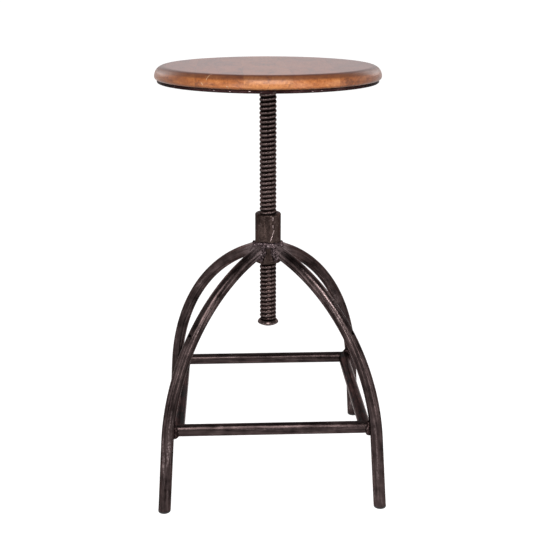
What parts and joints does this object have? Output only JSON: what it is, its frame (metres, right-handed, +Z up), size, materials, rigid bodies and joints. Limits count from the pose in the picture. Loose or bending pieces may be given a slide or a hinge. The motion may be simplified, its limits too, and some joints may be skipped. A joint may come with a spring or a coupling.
{
  "type": "machinist stool",
  "caption": "Round wooden seat on a threaded steel spindle that screws up and down in a collar, on bent tube legs with a square footrest ring.",
  "frame": {"origin": "on the floor, in the middle of the four feet, under the spindle", "axes": "+Z up along the spindle, -Y to the front rung, +X to the right as seen from the front; the four legs stand on the diagonals"},
  "size_m": [0.3684, 0.3684, 0.6903],
  "materials": {
    "seat_wood": "oiled and waxed hardwood boards with worn edges",
    "tube_steel": "dark clear-lacquered raw tube with scale streaks",
    "collar_steel": "lacquered turned steel with tool marks and scratches",
    "spindle_steel": "lacquered turned steel, oily in the thread",
    "plate_steel": "dark lacquered plate with scuffed rim",
    "weld_steel": "lacquered rough weld metal",
    "screw_steel": "dull zinc",
    "foot_plastic": "moulded black polyethylene, scuffed underneath"
  },
  "bodies": {
    "base": {"threaded_collar": "collar_steel", "hub_weld": "weld_steel", "leg_back_right": "tube_steel", "foot_plug_back_right": "foot_plastic", "ring_weld_back_right": "weld_steel", "leg_back_left": "tube_steel", "foot_plug_back_left": "foot_plastic", "ring_weld_back_left": "weld_steel", "leg_front_left": "tube_steel", "foot_plug_front_left": "foot_plastic", "ring_weld_front_left": "weld_steel", "leg_front_right": "tube_steel", "foot_plug_front_right": "foot_plastic", "ring_weld_front_right": "weld_steel", "rung_back": "tube_steel", "rung_left": "tube_steel", "rung_front": "tube_steel", "rung_right": "tube_steel"},
    "lift": {"spindle_stop": "spindle_steel"},
    "seat": {"spindle": "spindle_steel", "spindle_weld": "weld_steel", "seat_plate": "plate_steel", "seat_screws": "screw_steel", "seat_stave_1": "seat_wood", "seat_stave_2": "seat_wood", "seat_stave_3": "seat_wood", "seat_stave_4": "seat_wood", "seat_stave_5": "seat_wood"}
  },
  "joints": [
    {"name": "spindle_lift", "type": "slide", "parent": "base", "child": "lift", "axis": [0, 0, 1], "range_m": [-0.212, 0.102]},
    {"name": "seat_turn", "type": "hinge", "parent": "lift", "child": "seat", "pos_m": [0, 0, 0.4], "axis": [0, 0, 1], "range_deg": [-10675, 5136]}
  ],
  "couplings": [
    {"joint": "seat_turn", "follows": "spindle_lift", "rad_per_m": 878.77}
  ]
}
